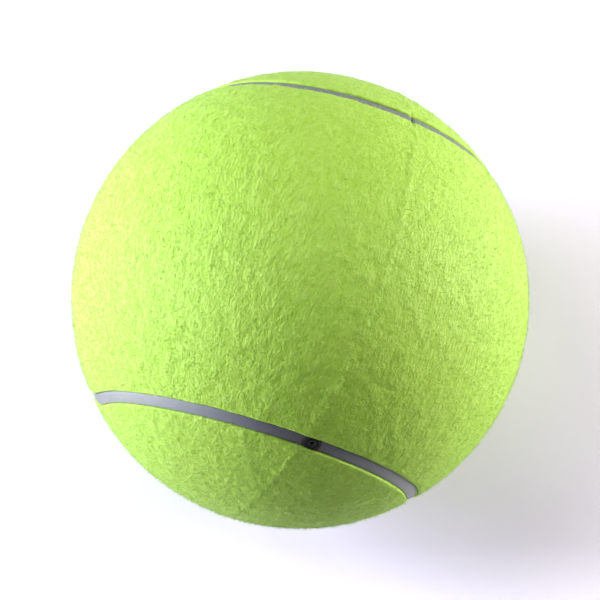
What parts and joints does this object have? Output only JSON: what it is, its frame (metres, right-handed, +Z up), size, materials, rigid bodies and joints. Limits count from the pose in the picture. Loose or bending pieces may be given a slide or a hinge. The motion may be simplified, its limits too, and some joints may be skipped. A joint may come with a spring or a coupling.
{
  "type": "inflatable felt-covered dog ball",
  "caption": "Large inflatable dog ball: rubber bladder with a needle valve under a felt cover, with a recessed rubber strip along its curved seam.",
  "frame": {"origin": "centre of the ball", "axes": "+Z up as the ball lies; +Y and -Y pass through the middles of the bottom felt's two lobes; the valve faces -Y, +X and up"},
  "size_m": [0.2396, 0.24, 0.2392],
  "materials": {
    "felt": "needled felt with a soft raised nap, yellow-green",
    "strip_rubber": "smooth satin rubber, bluish grey",
    "valve_rubber": "moulded soft rubber, black, slightly glossy",
    "bladder_rubber": "plain moulded rubber, black"
  },
  "bodies": {
    "root": {"bladder": "bladder_rubber", "valve_patch": "bladder_rubber", "valve_housing": "valve_rubber", "valve_plug": "valve_rubber", "top_felt_left": "felt", "bottom_felt_left": "felt", "seam_strip_left": "strip_rubber", "top_felt_right": "felt", "bottom_felt_right": "felt", "seam_strip_right": "strip_rubber"}
  },
  "joints": []
}
